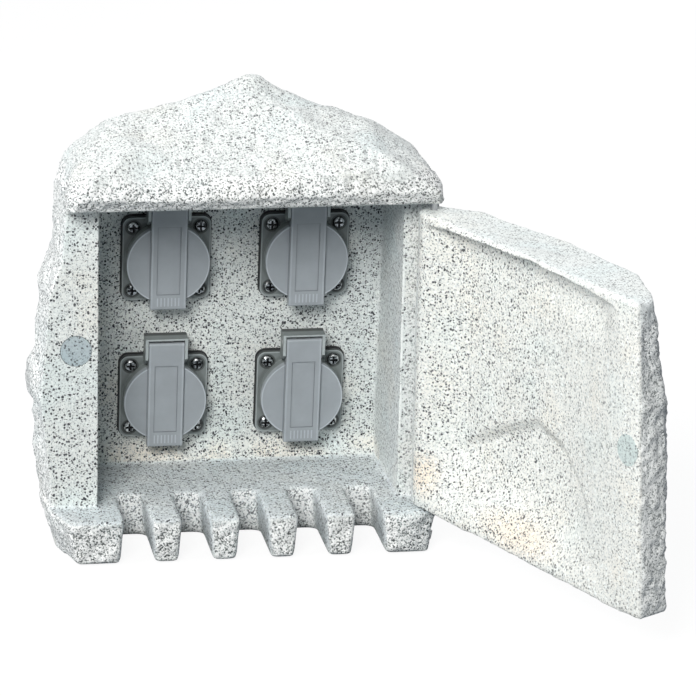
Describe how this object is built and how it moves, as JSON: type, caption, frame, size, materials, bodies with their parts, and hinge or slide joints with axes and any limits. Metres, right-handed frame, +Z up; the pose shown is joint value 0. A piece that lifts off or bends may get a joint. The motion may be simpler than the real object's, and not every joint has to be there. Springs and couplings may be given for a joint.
{
  "type": "garden power distributor",
  "caption": "Garden power distributor cast as a rough artificial rock, with spring-lidded earthed sockets in a bay behind a hinged stone door and cable slots in its foot.",
  "frame": {"origin": "middle of the rock's footprint, on the ground", "axes": "+X along the row of cable slots towards the door's hinge, +Y from the open front to the rear cover, +Z up"},
  "size_m": [0.3118, 0.3541, 0.2575],
  "materials": {
    "rock_stone": "rough granite-like cast, light top, speckled",
    "ledge_stone": "rough granite-like cast with coarse dark speckles",
    "door_stone": "rough granite-like cast, smoother inside",
    "cover_plastic": "fine grained",
    "black_rubber": "matt",
    "screw_steel": "bright plated",
    "magnet": "painted over with the stone coat",
    "pin_steel": "turned",
    "bush_plastic": "plain",
    "gland_plastic": "moulded",
    "terminal_plastic": "moulded",
    "socket_plastic": "semi-gloss grey",
    "lid_plastic": "semi-gloss mid grey",
    "insert_plastic": "fine grained",
    "contact_metal": "plated strip",
    "sleeve_brass": "turned",
    "line_insulation": "brown",
    "neutral_insulation": "blue",
    "earth_insulation": "green"
  },
  "bodies": {
    "rock": {"base_ledge": "ledge_stone", "rock_housing": "rock_stone", "rear_cover": "cover_plastic", "rear_cover_gasket": "black_rubber", "rear_cover_screws": "screw_steel", "jamb_magnet": "magnet", "pivot_bushes": "bush_plastic", "cable_gland": "gland_plastic", "gland_nut": "gland_plastic", "gland_cap": "gland_plastic", "gland_seal": "black_rubber", "terminal_blocks": "terminal_plastic", "terminal_screws": "screw_steel", "line_wiring": "line_insulation", "neutral_wiring": "neutral_insulation", "earth_wiring": "earth_insulation", "base_screws": "screw_steel", "flange_screws": "screw_steel", "top_left_socket_frame": "socket_plastic", "top_left_socket_gasket": "black_rubber", "top_left_socket_insert": "insert_plastic", "top_left_earth_clip": "contact_metal", "top_left_contact_sleeves": "sleeve_brass", "top_left_hinge_pin": "pin_steel", "top_left_lid_spring": "pin_steel", "top_right_socket_frame": "socket_plastic", "top_right_socket_gasket": "black_rubber", "top_right_socket_insert": "insert_plastic", "top_right_earth_clip": "contact_metal", "top_right_contact_sleeves": "sleeve_brass", "top_right_hinge_pin": "pin_steel", "top_right_lid_spring": "pin_steel", "bottom_left_socket_frame": "socket_plastic", "bottom_left_socket_gasket": "black_rubber", "bottom_left_socket_insert": "insert_plastic", "bottom_left_earth_clip": "contact_metal", "bottom_left_contact_sleeves": "sleeve_brass", "bottom_left_hinge_pin": "pin_steel", "bottom_left_lid_spring": "pin_steel", "bottom_right_socket_frame": "socket_plastic", "bottom_right_socket_gasket": "black_rubber", "bottom_right_socket_insert": "insert_plastic", "bottom_right_earth_clip": "contact_metal", "bottom_right_contact_sleeves": "sleeve_brass", "bottom_right_hinge_pin": "pin_steel", "bottom_right_lid_spring": "pin_steel"},
    "door": {"door_panel": "door_stone", "door_magnet": "magnet", "pivot_pins": "pin_steel"},
    "top_left_lid_body": {"top_left_lid": "lid_plastic", "top_left_lid_seal": "black_rubber"},
    "top_right_lid_body": {"top_right_lid": "lid_plastic", "top_right_lid_seal": "black_rubber"},
    "bottom_left_lid_body": {"bottom_left_lid": "lid_plastic", "bottom_left_lid_seal": "black_rubber"},
    "bottom_right_lid_body": {"bottom_right_lid": "lid_plastic", "bottom_right_lid_seal": "black_rubber"}
  },
  "joints": [
    {"name": "door_hinge", "type": "hinge", "parent": "rock", "child": "door", "pos_m": [0.0985, -0.066, 0], "axis": [0, 0, 1], "range_deg": [-114, 21]},
    {"name": "top_left_lid_hinge", "type": "hinge", "parent": "rock", "child": "top_left_lid_body", "pos_m": [-0.0392, -0.00465, 0.1833], "axis": [-1, 0, 0], "range_deg": [0, 90], "stiffness_Nm_per_rad": 0.02, "springref_deg": -28.65},
    {"name": "top_right_lid_hinge", "type": "hinge", "parent": "rock", "child": "top_right_lid_body", "pos_m": [0.0392, -0.00465, 0.1833], "axis": [-1, 0, 0], "range_deg": [0, 90], "stiffness_Nm_per_rad": 0.02, "springref_deg": -28.65},
    {"name": "bottom_left_lid_hinge", "type": "hinge", "parent": "rock", "child": "bottom_left_lid_body", "pos_m": [-0.0392, 0.00417, 0.09937], "axis": [-1, 0, 0], "range_deg": [0, 90], "stiffness_Nm_per_rad": 0.02, "springref_deg": -28.65},
    {"name": "bottom_right_lid_hinge", "type": "hinge", "parent": "rock", "child": "bottom_right_lid_body", "pos_m": [0.0392, 0.00417, 0.09937], "axis": [-1, 0, 0], "range_deg": [0, 90], "stiffness_Nm_per_rad": 0.02, "springref_deg": -28.65}
  ]
}
